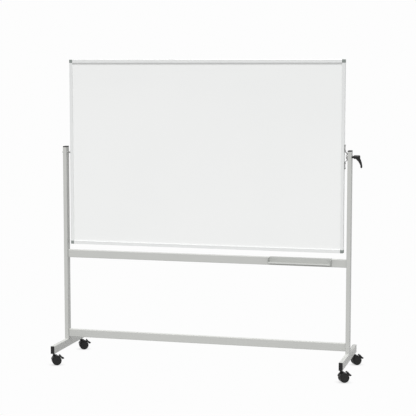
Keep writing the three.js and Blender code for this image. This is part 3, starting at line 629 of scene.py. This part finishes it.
def wheel_shape(side):
    """side is -1 for the wheel at -Y and +1 for the one at +Y."""
    wheel = turned([(radius, WHEEL_INNER_Y + across) for radius, across in WHEEL_PROFILE])
    turn = Matrix.Rotation(-side * math.pi / 2, 4, "X")
    return moved(wheel, Matrix.Translation((AXLE_AT[0], 0, AXLE_AT[1])) @ turn)


def rounded(shape, width, segments=3):
    """Rounds a shape's edges for good."""
    round_edges(shape, width, segments)
    return settle(shape)


def hood_shape():
    """Fender, fork web and stem housing in one moulding, with room cut for what moves in it."""
    cheek = CHEEK_OUTER_Y
    start, end = FENDER_ANGLES
    fender = slab(arc(AXLE_AT, FENDER_RADII[1], start, end, 60)
                  + arc(AXLE_AT, FENDER_RADII[0], end, start, 60), -FENDER_HALF_WIDTH, FENDER_HALF_WIDTH)
    web = slab([AXLE_AT] + arc(AXLE_AT, FENDER_RADII[1] - 1, *WEB_ANGLES, 36), -cheek, cheek)
    boss = slab(circle(AXLE_AT, BOSS_RADIUS), -cheek, cheek)
    lug = (arc(AXLE_AT, LUG_RADIUS, PEDAL_PIVOT_LEAN + 90, PEDAL_PIVOT_LEAN + 270, 16)
           + arc(PEDAL_PIVOT, LUG_RADIUS, PEDAL_PIVOT_LEAN - 90, PEDAL_PIVOT_LEAN + 90, 20))
    lugs = [rounded(slab(lug, CHEEK_INNER_Y, cheek), 0.4),
            rounded(slab(lug, -cheek, -CHEEK_INNER_Y), 0.4)]
    hood = joined(turned(HOUSING_PROFILE, 96), rounded(fender, 1.1), rounded(web, 0.6),
                  rounded(boss, 0.6), *lugs)
    reach = FENDER_HALF_WIDTH + 2
    rooms = [slab(circle(AXLE_AT, WHEEL_ROOM_RADIUS, 96), cheek, reach),
             slab(circle(AXLE_AT, WHEEL_ROOM_RADIUS, 96), -reach, -cheek),
             slab(circle(PEDAL_PIVOT, KNUCKLE_ROOM_RADIUS), -CHEEK_INNER_Y, CHEEK_INNER_Y),
             slab(circle(PEDAL_PIVOT, TRUNNION_HOLE_RADIUS, 24), -reach, reach),
             slab(circle(AXLE_AT, AXLE_HOLE_RADIUS, 32), -reach, reach),
             turned([(STEM_HOLE_RADIUS, 45), (STEM_HOLE_RADIUS, 75)], 32)]
    return shaded(without(hood, *rooms))


def pedal_shape():
    """Curved shoe over the wheels, ribbed horn for the toe, and an arm to the knuckle it turns on."""
    x, z = AXLE_AT
    pivot_x, pivot_z = PEDAL_PIVOT
    plate = slab(arc(AXLE_AT, SHOE_RADIUS, *SHOE_ANGLES, 32)
                 + [(x + 22.5, z + 37), (x + 35, z + 22.5), (x + 35, z + 11.5)],
                 -SHOE_HALF_WIDTH, SHOE_HALF_WIDTH)
    pad_start = Vector((x + 33.5, z + 21.5))
    pad_end = Vector((x + 47.6, z + 14.2))
    horn = slab([(x + 31.5, z + 17), pad_start, pad_end, (x + 48.5, z + 12.6), (x + 47.2, z + 10.8),
                 (x + 37.5, z + 6.2), (x + 32.5, z + 12.5)], -HORN_HALF_WIDTH, HORN_HALF_WIDTH)
    arm = slab([(pivot_x - 3.5, pivot_z + 2.5), (pivot_x + 2.5, pivot_z - 3.5)]
               + arc(AXLE_AT, SHOE_RADIUS + 1, 34, 52, 8), -ARM_HALF_WIDTH, ARM_HALF_WIDTH)
    knuckle = slab(circle(PEDAL_PIVOT, KNUCKLE_RADIUS, 32), -ARM_HALF_WIDTH, ARM_HALF_WIDTH)
    trunnion = slab(circle(PEDAL_PIVOT, TRUNNION_RADIUS, 24), -TRUNNION_HALF_LENGTH, TRUNNION_HALF_LENGTH)
    ribs = []
    along = (pad_end - pad_start).normalized()
    out = Vector((-along.y, along.x))
    for step in range(RIB_COUNT):
        foot = pad_start + along * (RIB_FIRST + RIB_SPACING * step)
        outline = [foot - 0.7 * along - out, foot + 0.7 * along - out,
                   foot + 0.45 * along + 0.7 * out, foot - 0.45 * along + 0.7 * out]
        ribs.append(rounded(slab(outline, -RIB_HALF_WIDTH, RIB_HALF_WIDTH), 0.25))
    pedal = joined(rounded(plate, 1.0), rounded(horn, 0.9), arm, rounded(knuckle, 0.4), trunnion, *ribs)
    return shaded(pedal)


def add_casters():
    stem = turned(STEM_PROFILE, 48)
    hood = hood_shape()
    pedal = pedal_shape()
    wheels = {"near_wheel": wheel_shape(-1), "far_wheel": wheel_shape(1)}
    for end in ("front", "rear"):
        for side in ("left", "right"):
            group = f"{end}_{side}"
            node = f"{group}_caster"
            stem_at = Vector(JOINTS[f"{group}_swivel"]["pos_m"])
            axle_at = Vector(JOINTS[f"{group}_near_wheel_roll"]["pos_m"])
            heading = math.atan2(axle_at.y - stem_at.y, axle_at.x - stem_at.x)
            place = Matrix.Translation((stem_at.x, stem_at.y, 0)) @ Matrix.Rotation(heading, 4, "Z")
            add_piece(f"{node}_stem", stem, place, "stand", "zinc")
            add_piece(f"{node}_hood", hood, place, f"{group}_swivel",
                      "black_plastic")
            add_piece(f"{node}_brake_pedal", pedal, place, f"{group}_brake",
                      "black_plastic")
            for wheel, shape in wheels.items():
                add_piece(f"{node}_{wheel}", shape, place, f"{group}_{wheel}",
                          "wheel_plastic")
    for shape in (stem, hood, pedal, *wheels.values()):
        bpy.data.objects.remove(shape)


# ---------------------------------------------------------------- pivots
# These are made about Z and turned so that Z points along +X, with the origin on the pivot axis.

ALONG_X = Matrix.Rotation(math.pi / 2, 4, "Y")

# Level cuts down the lever's arm: height, the two ends along X, and half the width along Y.
LEVER_CUTS = [
    (5, 18, 43, 7.3), (-3, 17, 48, 10), (-16, 27.5, 54.5, 9.6), (-28, 39, 59, 8),
    (-40, 46.5, 61.8, 6.8), (-52, 51.8, 63.9, 6.6), (-60, 51.6, 64.5, 7), (-65.5, 53.5, 62.6, 5.2),
    (-67.5, 56, 60.2, 2.4),
]
LEVER_HUB_PROFILE = [(7.2, 0.3), (7.6, 0.7), (7.6, 10.6), (10.2, 11.4), (11.4, 12.6), (11.8, 15),
                     (11.8, 44.5), (11.3, 47), (10.2, 49), (8.4, 50)]
SCREW_PROFILE = [(1.8, -11), (2.2, -10.4), (2.2, 0), (4.2, 0), (4.5, 0.3), (4.5, 1.4), (4.2, 2.3),
                 (3.5, 3.1), (2.4, 3.6), (1.2, 3.8)]
LEVER_VOXEL = 0.7
LEVER_BORE_RADIUS = 5.4
LEVER_BORE_DEPTH = 38.0
LEVER_RINGS_PER_CUT = 4
SCREW_SLOT_HALVES = (2.6, 0.55)     # half its length and half its width
SCREW_SLOT_FLOOR = 2.2
WASHER_RADII = (5.4, 16.0)
WASHER_EDGE = 0.5


def between(cuts, position):
    """A smooth curve through rows of numbers, at a position counted in rows."""
    index = min(int(position), len(cuts) - 2)
    share = position - index
    rows = [cuts[min(max(index + offset, 0), len(cuts) - 1)] for offset in (-1, 0, 1, 2)]
    mixed = []
    for before, start, end, after in zip(*rows):
        linear = (end - before) / 2
        square = before - 2.5 * start + 2 * end - after / 2
        cube = (after - before) / 2 + 1.5 * (start - end)
        mixed.append(start + share * (linear + share * (square + share * cube)))
    return mixed


def lever_shape():
    """A hub with a bore for the stud, and an arm that hangs down and curves outwards."""
    rings = []
    for step in range(LEVER_RINGS_PER_CUT * (len(LEVER_CUTS) - 1) + 1):
        z, low_x, high_x, half_width = between(LEVER_CUTS, step / LEVER_RINGS_PER_CUT)
        rings.append([((low_x + high_x) / 2 + (high_x - low_x) / 2 * x, half_width * y, z)
                      for x, y in circle((0, 0), 1)])
    hub = moved(turned(LEVER_HUB_PROFILE, 64), ALONG_X)
    bore = moved(turned([(LEVER_BORE_RADIUS, -1), (LEVER_BORE_RADIUS, LEVER_BORE_DEPTH)], 48), ALONG_X)
    lever = without(joined(hub, loft(rings)), bore)
    remesh = lever.modifiers.new("remesh", "REMESH")
    remesh.mode = "VOXEL"
    remesh.voxel_size = LEVER_VOXEL
    remesh.use_smooth_shade = True
    smooth = lever.modifiers.new("smooth", "SMOOTH")
    smooth.factor = 0.5
    smooth.iterations = 6
    return settle(lever)


def screw_shape():
    """A pan head with a cross recess, its shank down and its head up."""
    screw = turned(SCREW_PROFILE, 48)
    above_head = SCREW_PROFILE[-1][1] + 1.2
    slots = []
    for half_x, half_y in (SCREW_SLOT_HALVES, SCREW_SLOT_HALVES[::-1]):
        outline = [(-half_x, SCREW_SLOT_FLOOR), (half_x, SCREW_SLOT_FLOOR),
                   (half_x, above_head), (-half_x, above_head)]
        slots.append(slab(outline, -half_y, half_y))
    return without(screw, *slots)


def washer_shape(thickness):
    inner, outer = WASHER_RADII
    edge = WASHER_EDGE
    washer = turned([(outer - edge, 0), (outer, edge), (outer, thickness - edge),
                     (outer - edge, thickness)], 96)
    return without(washer, turned([(inner, -1), (inner, thickness + 1)], 64))


def add_pivot_pieces():
    lever = lever_shape()
    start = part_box("clamp_lever")[0].x - LEVER_HUB_PROFILE[0][1] * MM
    pivot = JOINTS["lever_turn"]["pos_m"]
    add_piece("clamp_lever", lever, Matrix.Translation((start, pivot[1], pivot[2])), "lever",
              "black_plastic")
    screw = screw_shape()
    for number in range(1, 5):
        low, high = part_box(f"bracket_screw_{number}")
        under_head = Vector((high.x - SCREW_PROFILE[-1][1] * MM, 0, (low.z + high.z) / 2))
        add_piece(f"bracket_screw_{number}", screw, Matrix.Translation(under_head) @ ALONG_X,
                  "board", "zinc")
    low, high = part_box("friction_washer")
    washer = washer_shape((high.x - low.x) / MM)
    add_piece("friction_washer", washer, Matrix.Translation((low.x, 0, pivot[2])) @ ALONG_X,
              "board", "zinc")
    for shape in (lever, screw, washer):
        bpy.data.objects.remove(shape)


# ---------------------------------------------------------------- everything together

bpy.context.scene.view_settings.view_transform = "Standard"
add_camera()
add_world()
add_key_light()
add_floor()
dress_cad_nodes()
add_post_caps()
add_foot_caps()
add_casters()
add_pivot_pieces()
